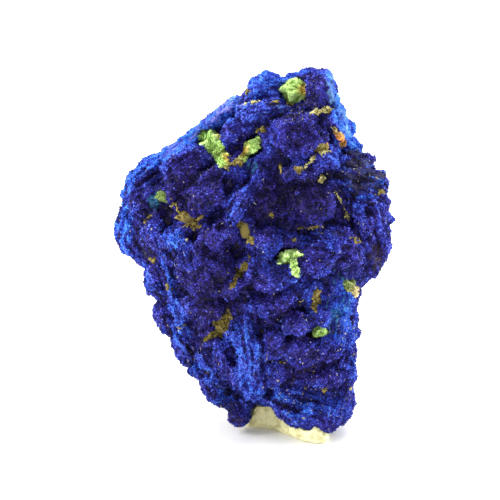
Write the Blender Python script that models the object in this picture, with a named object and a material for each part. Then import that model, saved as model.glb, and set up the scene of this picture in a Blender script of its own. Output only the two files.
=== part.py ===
"""An azurite specimen, 46 mm tall: a mass of grown-together azurite rosettes with malachite tufts and
ochre clay in its pockets, standing on a pressed lump of mounting putty.

Shapes are worked out in millimetres and written to Blender in metres. The front is laid out as seen
by someone who looks down on it by VIEW_FALL: "across" and "up" are measured square to that line of
sight, and "forward" is the distance in front of the specimen's middle plane.
"""

import functools
import math
import random

import bmesh
import bpy
import numpy as np
from mathutils import Euler, Matrix, Vector, noise
from mathutils.bvhtree import BVHTree

MM = 0.001
SEED = 7

# Driving dimensions, in millimetres.
VIEW_FALL = math.radians(14)
SIGHT_BASE = 2.4  # "up" of the table line below the middle plane
CORE_FORWARD = 9.6
CORE_BACK = 10.2
CORE_SQUARENESS = 2.4  # of its rounding towards the front and the back: 2 is an ellipse
CORE_INSET = 1.9  # from the outline
CORE_CENTRE = (0.5, 24.5)  # across, up
CORE_FRONT_SHIFT = (2.0, -1.0)  # the front bulges to the lower right
CORE_RINGS = 7  # on each side of the middle plane
RELIEF = 1.6  # how much further the front rosettes stand out than their "proud" column says
RIM_STEP = 2.7
RIM_RADIUS = (1.1, 1.9)
RIM_FORWARD = (-3.5, 2.5)
RIM_CLEARANCE = 1.2  # over the table
BACK_DIRECTIONS = 130
BACK_SIZE = (1.9, 3.7)
BODY_HALF_SIZES = (17, 12, 24)
OVERHANG = 0.3  # share of a knob beyond the outline that is left standing
BUMP_RADIUS = (0.7, 1.2)
BUMPS_PER_SQUARE_MM = 0.2
GRAIN = 0.32  # the remesh's voxel
AZURITE_FACES = 5450
JOINT_GAP = 0.3
POCKET_FACES = 60

# The azurite's outline as seen from the front: across, up.
OUTLINE = [
    (7.1, 46.9), (8.8, 46.3), (9.7, 44.8), (10.4, 42.6), (11.8, 40.2), (12.5, 37.7),
    (14.6, 35.5), (16.4, 33.4), (16.9, 30.6), (17.3, 28.4), (16.6, 25.0), (16.0, 22.2),
    (14.6, 20.6), (13.2, 18.6), (12.6, 16.2), (12.9, 13.2), (12.5, 10.2), (12.7, 7.6),
    (11.8, 4.2), (9.9, 2.3), (7.3, 1.8), (4.6, 2.9), (2.2, 4.4), (0.0, 5.3),
    (-1.0, 3.6), (-2.0, 2.6), (-3.1, 3.8), (-5.8, 6.0), (-7.4, 8.3), (-9.4, 9.7),
    (-10.4, 12.0), (-12.6, 15.5), (-13.2, 19.0), (-14.2, 22.4), (-16.0, 23.2), (-17.5, 25.8),
    (-17.6, 28.8), (-16.5, 31.0), (-16.1, 33.6), (-14.2, 34.9), (-11.7, 36.2), (-9.3, 37.8),
    (-7.1, 39.2), (-5.3, 40.9), (-3.0, 42.3), (-0.7, 45.0), (1.2, 46.4), (3.4, 45.8),
    (5.3, 46.4),
]

# Rosettes of the front: across, up, half width, half height, how far proud, turn in degrees.
FRONT_ROSETTES = [
    (1.3, 44.3, 2.9, 2.0, 1.3, 12),  # crown, left
    (0.6, 41.2, 3.4, 1.2, 1.2, 4),  # ledge below the crown
    (5.1, 38.2, 3.2, 2.9, 2.0, 0),  # neck
    (9.0, 40.0, 1.9, 1.5, 1.3, -20),
    (9.9, 38.8, 1.4, 1.3, 0.8, 0),
    (-3.2, 38.3, 1.2, 1.8, 1.5, 10),  # between the two upper tufts
    (-1.4, 39.3, 1.3, 1.1, 1.2, 0),
    (-3.6, 42.4, 1.7, 1.0, 0.9, 35),  # the stepped slope, top to bottom
    (-5.9, 40.7, 2.2, 1.1, 0.9, 33),
    (-8.6, 38.7, 2.2, 1.1, 0.9, 30),
    (-11.4, 36.5, 2.3, 1.1, 0.9, 28),
    (-8.3, 34.3, 3.3, 3.0, 2.2, 0),  # upper left
    (-13.2, 34.0, 2.3, 1.6, 1.4, 20),
    (-3.1, 34.0, 1.8, 1.6, 1.6, 0),
    (-13.2, 30.2, 2.7, 2.4, 1.4, 0),
    (-15.7, 31.4, 1.1, 2.4, 0.8, 0),
    (-5.7, 31.2, 3.1, 2.3, 1.7, 20),
    (-10.2, 30.9, 1.8, 1.6, 1.3, 0),
    (-2.5, 29.6, 1.3, 3.2, 1.7, -28),  # slanting rib
    (0.9, 31.0, 2.3, 3.2, 0.9, 0),  # hollow beside the dome
    (6.7, 30.0, 3.1, 2.7, 1.9, 0),  # dome
    (5.2, 33.7, 2.2, 1.2, 1.6, 5),
    (7.9, 35.0, 2.3, 1.2, 1.5, 12),
    (13.4, 28.8, 2.9, 2.7, 1.5, 0),  # right flank
    (14.6, 24.4, 1.6, 2.6, 0.6, 0),
    (14.4, 22.2, 1.5, 1.5, 0.4, 0),
    (9.6, 25.4, 3.2, 1.7, 2.1, -12),  # beak
    (11.4, 23.6, 1.9, 1.2, 1.7, 24),
    (1.2, 25.1, 1.8, 2.1, 1.9, 0),
    (7.4, 23.2, 2.3, 2.2, 2.2, 0),
    (1.6, 20.9, 2.4, 2.0, 2.0, 0),
    (4.4, 21.6, 1.4, 1.4, 1.9, 0),
    (-0.5, 22.6, 1.0, 2.4, 1.4, -24),
    (-9.6, 25.5, 1.9, 1.7, 1.6, 0),
    (-4.6, 26.1, 2.4, 1.5, 1.9, 8),
    (-6.1, 22.4, 4.1, 3.9, 2.6, 0),  # the largest rosette
    (-6.6, 17.5, 3.1, 1.5, 1.9, -4),
    (-3.4, 20.0, 1.5, 1.6, 1.7, 0),
    (9.7, 18.4, 2.5, 2.5, 1.2, 0),
    (11.6, 16.6, 1.3, 2.2, 0.8, 0),
    (0.8, 17.4, 2.0, 1.4, 1.7, 0),
    (3.5, 18.0, 1.5, 1.3, 1.5, 0),
    (5.0, 15.1, 2.0, 1.3, 1.9, 4),
    (7.9, 16.0, 1.4, 1.2, 1.5, 0),
    (5.6, 11.9, 2.4, 2.3, 1.9, 0),  # lower rosettes
    (9.0, 12.3, 2.0, 1.8, 1.9, 0),
    (11.0, 9.4, 1.6, 2.8, 1.1, 8),
    (8.4, 8.4, 2.0, 1.4, 1.2, 0),
    (8.6, 5.2, 3.4, 2.6, 1.8, 0),
    (4.6, 6.3, 2.6, 1.7, 1.4, -18),
    (2.3, 12.9, 1.7, 2.0, 1.5, 0),
    (2.2, 9.2, 1.9, 1.8, 1.3, -20),
    (-1.1, 12.9, 1.4, 3.6, 1.5, 6),  # keel between the front and the left flank
    (-0.6, 8.2, 1.6, 2.6, 1.2, 10),
    (-4.5, 11.7, 0.9, 2.3, 1.4, 8),
    (-6.4, 11.0, 1.1, 2.2, 1.0, 22),
    (-8.4, 13.0, 1.2, 2.4, 1.0, 24),
    (-9.9, 18.2, 1.0, 4.0, 1.0, 14),
    (-11.9, 20.6, 1.2, 3.0, 0.8, 14),
    (-12.0, 26.2, 1.6, 2.6, 1.2, 22),
    (-11.6, 15.9, 1.1, 1.8, 0.8, 20),
    (-7.0, 8.7, 1.2, 1.8, 0.8, 34),
    (-4.2, 6.9, 1.9, 1.7, 1.0, 0),
    (-2.4, 9.6, 1.1, 1.9, 0.8, 12),
]

# Free-standing lobes that the outline shows: across, up, forward, half width, half height, half depth.
LOBES = [
    (-16.2, 27.0, -2.5, 1.5, 3.2, 3.2),
    (9.6, 44.8, -3.5, 0.9, 1.3, 1.6),
    (-1.8, 4.6, 2.6, 1.2, 1.9, 1.6),
    (0.9, 6.3, 2.2, 1.4, 1.4, 1.6),  # from here on, the edge that sits on the putty
    (2.6, 5.3, 3.8, 1.5, 1.4, 1.7),
    (4.4, 4.5, 5.2, 1.6, 1.5, 1.8),
    (6.4, 4.1, 6.6, 1.6, 1.5, 1.8),
    (8.4, 3.8, 6.8, 1.8, 1.7, 1.9),
    (10.1, 4.2, 4.2, 1.6, 1.6, 1.9),
]

# Thin ledges stacked on the right shoulder: across, up, forward, half width, half thickness, dip.
SHOULDER_LEDGES = [
    (11.0, 36.4, 3.4, 2.5, 0.90, -24),
    (11.6, 34.6, 4.2, 3.0, 0.95, -20),
    (12.8, 32.8, 3.6, 3.0, 0.95, -12),
    (13.2, 31.0, 4.0, 2.9, 0.95, -6),
]

# The crown's right-hand block: flat faces with a square right edge.
CROWN_BLOCK = {"across": 7.6, "up": 42.8, "forward": 2.8, "size": (4.0, 7.6, 6.0), "turn": (-4, 3, 16)}
CROWN_KNOBS = 26
CROWN_KNOB_RADIUS = (0.8, 1.3)

# Malachite tufts: name, across, up, half width, half height, turn, faces, side it grows on.
TUFTS = [
    ("malachite_tuft_crown", 5.1, 43.6, 1.6, 1.75, 0, 200, "front"),
    ("malachite_tuft_slope", -5.2, 37.2, 1.3, 2.0, 28, 200, "front"),
    ("malachite_tuft_neck", -0.5, 36.9, 0.9, 1.6, -34, 120, "front"),
    ("malachite_tuft_left", -11.6, 30.5, 0.7, 0.7, 0, 70, "front"),
    ("malachite_tuft_middle", 4.0, 23.3, 1.5, 1.1, 14, 160, "front"),
    ("malachite_tuft_low", 7.7, 14.1, 1.1, 0.65, 16, 80, "front"),
    ("malachite_tuft_right", 11.9, 20.1, 0.8, 1.1, 20, 80, "front"),
    ("malachite_tuft_back_high", 3.0, 36.0, 1.6, 1.3, 20, 110, "back"),
    ("malachite_tuft_back_low", -4.0, 15.0, 1.1, 1.4, -15, 90, "back"),
]

# Ochre clay in the pockets between rosettes: the same columns.
CLAY = [
    ("ochre_clay_below_largest", -4.7, 14.5, 1.5, 1.7, -20, 110, "front"),
    ("ochre_clay_left", -8.2, 28.1, 1.8, 0.95, -8, 90, "front"),
    ("ochre_clay_centre", -1.2, 26.3, 0.7, 1.5, 36, 70, "front"),
    ("ochre_clay_rib", -2.0, 21.4, 0.7, 2.1, -38, 90, "front"),
    ("ochre_clay_right", 7.3, 18.2, 0.75, 1.3, 0, 70, "front"),
    ("ochre_clay_shoulder", 7.4, 36.4, 1.7, 0.7, 22, 90, "front"),
    ("ochre_clay_neck", 10.3, 37.5, 1.0, 0.7, -10, 60, "front"),
    ("ochre_clay_back_high", -5.0, 31.0, 1.7, 1.0, 30, 90, "back"),
    ("ochre_clay_back_low", 5.0, 20.0, 0.9, 1.8, 15, 90, "back"),
]
TUFT_FORM = {"depth": 0.9, "sunk": 0.2, "knobs": 14, "knob_share": 0.42, "grain": 0.14}
CLAY_FORM = {"depth": 0.8, "sunk": 0.45, "knobs": 9, "knob_share": 0.40, "grain": 0.16}

# Mounting putty. Its footprint on the table: x, y, going round.
PUTTY_FOOTPRINT = [
    (-1.4, -1.6), (1.6, -2.8), (3.6, -5.2), (5.6, -7.9), (7.8, -9.5), (8.8, -8.2),
    (9.3, -4.8), (9.5, -1.0), (8.9, 2.6), (6.9, 5.4), (3.6, 6.8), (0.2, 5.9), (-1.9, 2.8),
]
PUTTY_HEIGHT = 7.5  # the most it reaches up into the azurite's underside
PUTTY_EDGE_HEIGHT = ((-0.4, 3.3), (4.5, 1.7), (9.0, 1.3))  # x, height
PUTTY_RISE = 1.3  # the most it climbs inwards from its edge, per mm
PUTTY_PRINT_DEPTH = 0.8  # how far the lump runs into the azurite before the print is cut
PUTTY_SPOKES = 48
PUTTY_RINGS = 9
PUTTY_FACES = 640
PRINT_GAP = 0.34

FRONT_SIGHT = Vector((0, math.cos(VIEW_FALL), -math.sin(VIEW_FALL)))
BACK_SIGHT = Vector((0, -1, 0))

COLOURS = {
    "azurite": ((0.012, 0.018, 0.26), 0.45),
    "malachite": ((0.28, 0.52, 0.10), 0.75),
    "clay": ((0.45, 0.28, 0.06), 0.9),
    "putty": ((0.72, 0.70, 0.56), 0.6),
}


def place(across, up, forward):
    """The point, in millimetres, at this place as seen from the front."""
    height = (up - SIGHT_BASE + forward * math.sin(VIEW_FALL)) / math.cos(VIEW_FALL)
    return Vector((across, -forward, height))


def forward_of_floor(up, height):
    """How far forward a point at this "up" has to be for its height over the table to be height."""
    return (height * math.cos(VIEW_FALL) - up + SIGHT_BASE) / math.sin(VIEW_FALL)


def surface_at(tree, across, up, side="front"):
    """Where a line through this place meets the surface, and the line's direction: the line of sight
    for the front, level and from behind for the back."""
    direction = FRONT_SIGHT if side == "front" else BACK_SIGHT
    return tree.ray_cast(place(across, up, 0) - direction * 60, direction)[0], direction


class Shapes:
    """Closed shapes gathered in millimetres, to become one mesh."""

    def __init__(self):
        self.points = []
        self.faces = []

    def add(self, points, faces):
        first = len(self.points)
        self.points += points
        self.faces += [tuple(first + i for i in face) for face in faces]

    def tree(self):
        return BVHTree.FromPolygons(self.points, self.faces)

    def to_object(self, name):
        mesh = bpy.data.meshes.new(name)
        mesh.from_pydata([point * MM for point in self.points], [], self.faces)
        mesh.update()
        obj = bpy.data.objects.new(name, mesh)
        bpy.context.scene.collection.objects.link(obj)
        return obj


@functools.cache
def unit_sphere(detail):
    """The points and faces of an icosphere of radius 1."""
    bm = bmesh.new()
    bmesh.ops.create_icosphere(bm, subdivisions=detail, radius=1.0)
    points = [vert.co.copy() for vert in bm.verts]
    faces = [tuple(vert.index for vert in face.verts) for face in bm.faces]
    bm.free()
    return points, faces


def finish(obj, colour):
    """Gives obj its material and smooth shading."""
    base, roughness = COLOURS[colour]
    material = bpy.data.materials.get(colour) or bpy.data.materials.new(colour)
    material.use_nodes = True
    shader = material.node_tree.nodes["Principled BSDF"]
    shader.inputs["Base Color"].default_value = (*base, 1)
    shader.inputs["Roughness"].default_value = roughness
    shader.inputs["Metallic"].default_value = 0
    obj.data.materials.clear()
    obj.data.materials.append(material)
    obj.data.shade_smooth()
    obj.data.set_sharp_from_angle(angle=math.radians(40))


def add_rosette(shapes, centre, half_sizes, turn=0.0, detail=3, roughness=0.10):
    """Adds an uneven ellipsoid. turn is in degrees about the line from front to back."""
    sphere, faces = unit_sphere(detail)
    rotation = Euler((0, -math.radians(turn), 0)).to_matrix()
    points = []
    for out in sphere:
        swell = 1 + roughness * noise.noise(out * 1.7 + centre * 0.31)
        points.append(centre + rotation @ Vector([c * s * swell for c, s in zip(out, half_sizes)]))
    shapes.add(points, faces)


def spread_directions(count):
    """Unit vectors spread evenly over a sphere."""
    golden = math.pi * (3 - math.sqrt(5))
    for i in range(count):
        z = 1 - 2 * (i + 0.5) / count
        ring = math.sqrt(1 - z * z)
        yield Vector((ring * math.cos(golden * i), ring * math.sin(golden * i), z))


def add_bumpy_rosette(shapes, rng, centre, half_sizes, turn=0.0):
    """A rosette with the small rounded crystal heads that cover it."""
    add_rosette(shapes, centre, half_sizes, turn)
    rotation = Euler((0, -math.radians(turn), 0)).to_matrix()
    mean = sum(half_sizes) / 3
    count = round(4 * math.pi * mean * mean * BUMPS_PER_SQUARE_MM)
    for direction in spread_directions(count):
        wander = Vector([rng.uniform(-0.25, 0.25) for _ in range(3)])
        out = (direction + wander).normalized()
        radius = rng.uniform(*BUMP_RADIUS)
        seat = centre + rotation @ Vector([c * (s - 0.55 * radius) for c, s in zip(out, half_sizes)])
        add_rosette(shapes, seat, (radius,) * 3, detail=2)


def build_core():
    """The body under the rosettes: the outline, drawn in and rounded off towards the front and the back."""
    core = Shapes()
    ring_size = len(OUTLINE)
    for step in range(-CORE_RINGS, CORE_RINGS + 1):
        share = math.sin(step / CORE_RINGS * math.pi / 2 * 0.96)
        forward = share * (CORE_FORWARD if share > 0 else CORE_BACK)
        scale = (1 - abs(share) ** CORE_SQUARENESS) ** (1 / CORE_SQUARENESS)
        shift = max(share, 0)
        middle = Vector(CORE_CENTRE) + Vector(CORE_FRONT_SHIFT) * shift
        ring = []
        for point in reversed(OUTLINE):
            arm = Vector(point) - Vector(CORE_CENTRE)
            arm *= (arm.length - CORE_INSET) / arm.length * scale
            ring.append(place(*(middle + arm), forward))
        core.points += ring
    core.faces = tube_faces(ring_size, 2 * CORE_RINGS + 1)
    return core


def tube_faces(ring_size, ring_count):
    """The faces of a closed tube whose points come ring by ring, wound so that they face out
    where a ring runs anticlockwise as seen from the last ring's side."""
    faces = []
    for ring in range(ring_count - 1):
        for i in range(ring_size):
            j = (i + 1) % ring_size
            low, high = ring * ring_size, (ring + 1) * ring_size
            faces.append((low + i, low + j, high + j, high + i))
    last = (ring_count - 1) * ring_size
    faces.append(tuple(reversed(range(ring_size))))
    faces.append(tuple(last + i for i in range(ring_size)))
    return faces


def add_front_rosettes(shapes, rng, core):
    for across, up, half_width, half_height, proud, turn in FRONT_ROSETTES:
        hit, sight = surface_at(core, across, up)
        if hit is None:  # beside the drawn-in core
            hit = place(across, up, 0)
        half_depth = 0.5 * (half_width + half_height) * 0.9
        centre = hit + sight * (half_depth - RELIEF * proud)
        add_bumpy_rosette(shapes, rng, centre, (half_width, half_depth, half_height), turn)


def add_rim_rosettes(shapes, rng):
    """Rosettes along the outline, so that the silhouette is knobbly all round."""
    middle = Vector(CORE_CENTRE)
    for i, point in enumerate(OUTLINE):
        start, end = Vector(point), Vector(OUTLINE[(i + 1) % len(OUTLINE)])
        steps = max(1, round((end - start).length / RIM_STEP))
        for step in range(steps):
            edge = start.lerp(end, step / steps)
            radius = rng.uniform(*RIM_RADIUS)
            inward = (middle - edge).normalized()
            seat = edge + inward * radius * 1.2
            forward = max(rng.uniform(*RIM_FORWARD), forward_of_floor(seat.y, radius + RIM_CLEARANCE))
            add_bumpy_rosette(shapes, rng, place(*seat, forward), (radius, radius * 1.3, radius * 1.1))


def add_back_rosettes(shapes, rng, core):
    """Rosettes over the back, the flanks behind the outline and the underside."""
    middle = place(*CORE_CENTRE, 0)
    for direction in spread_directions(BACK_DIRECTIONS):
        if direction.y < 0.12:
            continue
        reach = Vector([c * s for c, s in zip(direction, BODY_HALF_SIZES)]).normalized()
        hit = core.ray_cast(middle + reach * 60, -reach)[0]
        if hit is None:
            continue
        size = rng.uniform(*BACK_SIZE)
        half_sizes = (size * rng.uniform(0.8, 1.2), size * 0.9, size * rng.uniform(0.7, 1.1))
        centre = hit - reach * (size * 0.9 - rng.uniform(0.7, 1.9))
        add_bumpy_rosette(shapes, rng, centre, half_sizes, rng.uniform(-40, 40))


def add_lobes(shapes, rng):
    for across, up, forward, half_width, half_height, half_depth in LOBES:
        add_bumpy_rosette(shapes, rng, place(across, up, forward), (half_width, half_depth, half_height))


def add_shoulder_ledges(shapes):
    for across, up, forward, half_width, half_thickness, dip in SHOULDER_LEDGES:
        sizes = (half_width, 3.6, half_thickness)
        add_rosette(shapes, place(across, up, forward), sizes, -dip, roughness=0.15)


def add_crown_block(shapes, rng):
    """The block and the knobs over its front and its top."""
    bm = bmesh.new()
    bmesh.ops.create_cube(bm, size=1.0)
    turn = Euler([math.radians(a) for a in CROWN_BLOCK["turn"]]).to_matrix().to_4x4()
    seat = Matrix.Translation(place(CROWN_BLOCK["across"], CROWN_BLOCK["up"], CROWN_BLOCK["forward"]))
    bm.transform(seat @ turn @ Matrix.Diagonal((*CROWN_BLOCK["size"], 1)))
    bmesh.ops.bevel(bm, geom=bm.edges[:], offset=0.7, segments=2, affect="EDGES")
    bm.verts.index_update()
    points = [vert.co.copy() for vert in bm.verts]
    shapes.add(points, [tuple(vert.index for vert in face.verts) for face in bm.faces])
    bm.free()
    for _ in range(CROWN_KNOBS):
        on_top = rng.random() < 0.35
        at = Vector([rng.uniform(-0.5, 0.5) * size for size in CROWN_BLOCK["size"]])
        at[2 if on_top else 1] = (0.5 if on_top else -0.5) * CROWN_BLOCK["size"][2 if on_top else 1]
        radius = rng.uniform(*CROWN_KNOB_RADIUS)
        add_rosette(shapes, seat @ turn @ (at * 0.86), (radius,) * 3, detail=2)


def evaluated_mesh(obj):
    graph = bpy.context.evaluated_depsgraph_get()
    return bpy.data.meshes.new_from_object(obj.evaluated_get(graph))


def draw_in(mesh):
    """Draws in whatever stands out over the outline, down to OVERHANG of what it was."""
    numbers = np.empty(len(mesh.vertices) * 3)
    mesh.vertices.foreach_get("co", numbers)
    points = numbers.reshape(-1, 3) / MM
    forward = -points[:, 1]
    up = points[:, 2] * math.cos(VIEW_FALL) - forward * math.sin(VIEW_FALL) + SIGHT_BASE
    seen = np.column_stack((points[:, 0], up))
    inside = np.zeros(len(seen), bool)
    nearest = np.zeros_like(seen)
    distance = np.full(len(seen), np.inf)
    corners = np.array(OUTLINE)
    for start, end in zip(corners, np.roll(corners, -1, axis=0)):
        run = end - start
        share = np.clip((seen - start) @ run / (run @ run), 0, 1)
        foot = start + share[:, None] * run
        away = np.linalg.norm(seen - foot, axis=1)
        closer = away < distance
        nearest[closer], distance[closer] = foot[closer], away[closer]
        spans = (start[1] > seen[:, 1]) != (end[1] > seen[:, 1])
        cross = start[0] + (seen[:, 1] - start[1]) * run[0] / (run[1] if run[1] else 1)
        inside ^= spans & (seen[:, 0] < cross)
    move = np.where(inside[:, None], 0, (1 - OVERHANG) * (nearest - seen))
    points[:, 0] += move[:, 0]
    points[:, 2] += move[:, 1] / math.cos(VIEW_FALL)
    mesh.vertices.foreach_set("co", (points * MM).ravel())


def fuse(obj, grain, face_count):
    """Grows the overlapping shapes of obj together into one skin of about face_count triangles."""
    remesh = obj.modifiers.new("Remesh", "REMESH")
    remesh.mode = "VOXEL"
    remesh.voxel_size = grain * MM
    smooth = obj.modifiers.new("Smooth", "SMOOTH")
    smooth.factor = 0.5
    smooth.iterations = 2
    obj.data = evaluated_mesh(obj)
    obj.modifiers.clear()
    thin_out(obj, face_count)


def thin_out(obj, face_count):
    """Brings obj down to about face_count triangles."""
    triangles = sum(len(face.vertices) - 2 for face in obj.data.polygons)
    decimate = obj.modifiers.new("Decimate", "DECIMATE")
    decimate.ratio = face_count / triangles
    decimate.use_collapse_triangulate = True
    obj.data = evaluated_mesh(obj)
    obj.modifiers.clear()


def build_azurite():
    rng = random.Random(SEED)
    shapes = build_core()
    core = shapes.tree()
    add_front_rosettes(shapes, rng, core)
    add_rim_rosettes(shapes, rng)
    add_back_rosettes(shapes, rng, core)
    add_lobes(shapes, rng)
    add_shoulder_ledges(shapes)
    add_crown_block(shapes, rng)
    azurite = shapes.to_object("azurite_mass")
    fuse(azurite, GRAIN, AZURITE_FACES)
    draw_in(azurite.data)
    return azurite


def surface_tree(obj):
    """obj's surface in millimetres, for finding what lies on it."""
    points = [vert.co / MM for vert in obj.data.vertices]
    return BVHTree.FromPolygons(points, [tuple(face.vertices) for face in obj.data.polygons])


def add_clump(shapes, rng, centre, half_sizes, turn, form):
    """A lump with knobs all over it."""
    add_rosette(shapes, centre, half_sizes, turn, roughness=0.25)
    rotation = Euler((0, -math.radians(turn), 0)).to_matrix()
    for direction in spread_directions(form["knobs"]):
        radius = form["knob_share"] * min(half_sizes[0], half_sizes[2]) * rng.uniform(0.8, 1.3)
        reach = rng.uniform(0.75, 1.0)
        seat = centre + rotation @ Vector([c * s * reach for c, s in zip(direction, half_sizes)])
        add_rosette(shapes, seat, (radius,) * 3, detail=2, roughness=0.2)


def build_inclusion(azurite, tree, rng, row, form):
    """A tuft or a clay filling, and its pocket in the azurite."""
    name, across, up, half_width, half_height, turn, face_count, side = row
    hit, sight = surface_at(tree, across, up, side)
    half_depth = form["depth"] * 0.5 * (half_width + half_height)
    centre = hit + sight * half_depth * form["sunk"]
    shapes = Shapes()
    add_clump(shapes, rng, centre, (half_width * 0.85, half_depth, half_height * 0.85), turn, form)
    obj = shapes.to_object(name)
    fuse(obj, form["grain"], face_count)
    add_pocket(azurite, obj, JOINT_GAP)
    return obj


def add_pocket(body, piece, gap):
    """Cuts the room that piece takes, and a gap round it, out of body."""
    cutter = piece.copy()
    cutter.data = piece.data.copy()
    cutter.name = piece.name + "_pocket"
    bpy.context.scene.collection.objects.link(cutter)
    thin_out(cutter, POCKET_FACES)
    normals = [normal.vector.copy() for normal in cutter.data.vertex_normals]
    for vert, normal in zip(cutter.data.vertices, normals):
        vert.co += normal * gap * MM
    cutter.hide_render = True
    cutter.display_type = "WIRE"
    cut = body.modifiers.new(cutter.name, "BOOLEAN")
    cut.operation = "DIFFERENCE"
    cut.object = cutter


def lump_height(tree, x, y, inside):
    """How high the uncut putty stands here, this far inside its edge: up into the azurite's underside."""
    edge_x, edge_height = zip(*PUTTY_EDGE_HEIGHT)
    edge = float(np.interp(x, edge_x, edge_height))
    above = tree.ray_cast(Vector((x, y, -5)), Vector((0, 0, 1)))[0]
    if above is None:
        return edge
    return max(edge, min(above.z + PUTTY_PRINT_DEPTH, edge + PUTTY_RISE * inside, PUTTY_HEIGHT))


def closed_curve(points, count):
    """count points along a smooth closed curve through points."""
    made = []
    for k in range(count):
        at = k / count * len(points)
        i, t = int(at), at % 1
        p = [Vector(points[(i + j) % len(points)]) for j in (-1, 0, 1, 2)]
        made.append(
            0.5 * (2 * p[1] + (p[2] - p[0]) * t + (2 * p[0] - 5 * p[1] + 4 * p[2] - p[3]) * t ** 2
                   + (3 * p[1] - p[0] - 3 * p[2] + p[3]) * t ** 3)
        )
    return made


def build_lump(tree):
    """The putty before the azurite is pressed into it: flat below, rounded at its edge."""
    rim = closed_curve(PUTTY_FOOTPRINT, PUTTY_SPOKES)
    middle = sum(rim, Vector((0, 0))) / len(rim)
    lump = Shapes()
    for k in range(PUTTY_RINGS + 1):
        share = 1 - (k / (PUTTY_RINGS + 0.3)) ** 1.3
        for point in rim:
            x, y = middle.lerp(point, share)
            inside = (1 - share) * (point - middle).length
            fold = 1 + 0.16 * noise.noise(Vector((x * 0.8, y * 0.8, 3.0)))
            shoulder = (1 - share ** 8) ** 0.4
            height = 0.3 + (lump_height(tree, x, y, inside) * fold - 0.3) * shoulder
            lump.points.append(Vector((x, y, height)))
    bottom = [middle.lerp(point, 0.97).to_3d() for point in rim]
    lump.points = bottom + lump.points
    lump.faces = tube_faces(PUTTY_SPOKES, PUTTY_RINGS + 2)
    return lump.to_object("mounting_putty")


def build_putty(azurite, tree):
    """The lump with the print of the azurite in it."""
    putty = build_lump(tree)
    stamp = azurite.copy()
    stamp.data = azurite.data.copy()
    stamp.modifiers.clear()
    bpy.context.scene.collection.objects.link(stamp)
    swell = stamp.modifiers.new("Swell", "DISPLACE")
    swell.strength = PRINT_GAP * MM
    swell.mid_level = 0
    skin = stamp.modifiers.new("Skin", "REMESH")
    skin.mode = "VOXEL"
    skin.voxel_size = GRAIN * MM
    cut = putty.modifiers.new("Print", "BOOLEAN")
    cut.operation = "DIFFERENCE"
    cut.object = stamp
    putty.data = evaluated_mesh(putty)
    putty.modifiers.clear()
    bpy.data.objects.remove(stamp)
    keep_largest_piece(putty.data)
    thin_out(putty, PUTTY_FACES)
    return putty


def keep_largest_piece(mesh):
    """Removes the crumbs that a cut has left beside the largest piece."""
    bm = bmesh.new()
    bm.from_mesh(mesh)
    left = set(bm.verts)
    pieces = []
    while left:
        piece = [left.pop()]
        for vert in piece:
            for edge in vert.link_edges:
                other = edge.other_vert(vert)
                if other in left:
                    left.remove(other)
                    piece.append(other)
        pieces.append(piece)
    largest = max(pieces, key=len)
    for piece in pieces:
        if piece is not largest:
            bmesh.ops.delete(bm, geom=piece, context="VERTS")
    bm.to_mesh(mesh)
    bm.free()


def stand_on_origin(objects):
    """Puts the origin at the middle of the specimen's base: every object hangs from one empty."""
    corners = [vert.co for obj in objects for vert in obj.data.vertices]
    low = Vector([min(c[i] for c in corners) for i in range(3)])
    high = Vector([max(c[i] for c in corners) for i in range(3)])
    stand = bpy.data.objects.new("specimen", None)
    bpy.context.scene.collection.objects.link(stand)
    for obj in list(bpy.data.objects):
        if obj != stand:
            obj.parent = stand
    stand.location = (-(low.x + high.x) / 2, -(low.y + high.y) / 2, -low.z)


def main():
    for obj in list(bpy.data.objects):
        bpy.data.objects.remove(obj)
    azurite = build_azurite()
    tree = surface_tree(azurite)
    parts = [azurite]
    rng = random.Random(SEED)
    for row in TUFTS:
        tuft = build_inclusion(azurite, tree, rng, row, TUFT_FORM)
        finish(tuft, "malachite")
        parts.append(tuft)
    for row in CLAY:
        clay = build_inclusion(azurite, tree, rng, row, CLAY_FORM)
        finish(clay, "clay")
        parts.append(clay)
    putty = build_putty(azurite, tree)
    finish(putty, "putty")
    finish(azurite, "azurite")
    parts.append(putty)
    stand_on_origin(parts)


main()
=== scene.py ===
"""The looks of the azurite specimen: druse, malachite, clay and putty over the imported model."""

import math

import bmesh
import bpy
import numpy as np
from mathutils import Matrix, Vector, noise


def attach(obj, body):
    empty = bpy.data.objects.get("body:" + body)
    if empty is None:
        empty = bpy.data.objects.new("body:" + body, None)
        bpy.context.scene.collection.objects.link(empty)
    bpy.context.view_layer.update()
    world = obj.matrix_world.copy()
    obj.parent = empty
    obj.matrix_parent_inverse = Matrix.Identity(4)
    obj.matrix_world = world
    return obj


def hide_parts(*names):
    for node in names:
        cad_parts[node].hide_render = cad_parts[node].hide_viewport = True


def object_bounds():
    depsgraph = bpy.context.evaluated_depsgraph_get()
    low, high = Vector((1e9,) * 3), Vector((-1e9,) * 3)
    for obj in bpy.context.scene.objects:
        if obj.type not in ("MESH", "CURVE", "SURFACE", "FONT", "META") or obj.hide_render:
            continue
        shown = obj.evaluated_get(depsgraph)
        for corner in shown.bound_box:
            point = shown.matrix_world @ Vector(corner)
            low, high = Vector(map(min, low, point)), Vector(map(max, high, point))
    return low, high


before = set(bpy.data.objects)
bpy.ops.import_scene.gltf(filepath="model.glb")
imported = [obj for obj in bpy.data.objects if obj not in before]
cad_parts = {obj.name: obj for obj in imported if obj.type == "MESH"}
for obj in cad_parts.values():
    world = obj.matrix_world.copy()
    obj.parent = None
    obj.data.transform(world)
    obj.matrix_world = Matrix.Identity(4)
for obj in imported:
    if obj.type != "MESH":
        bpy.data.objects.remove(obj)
CAD_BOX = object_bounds()

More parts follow.
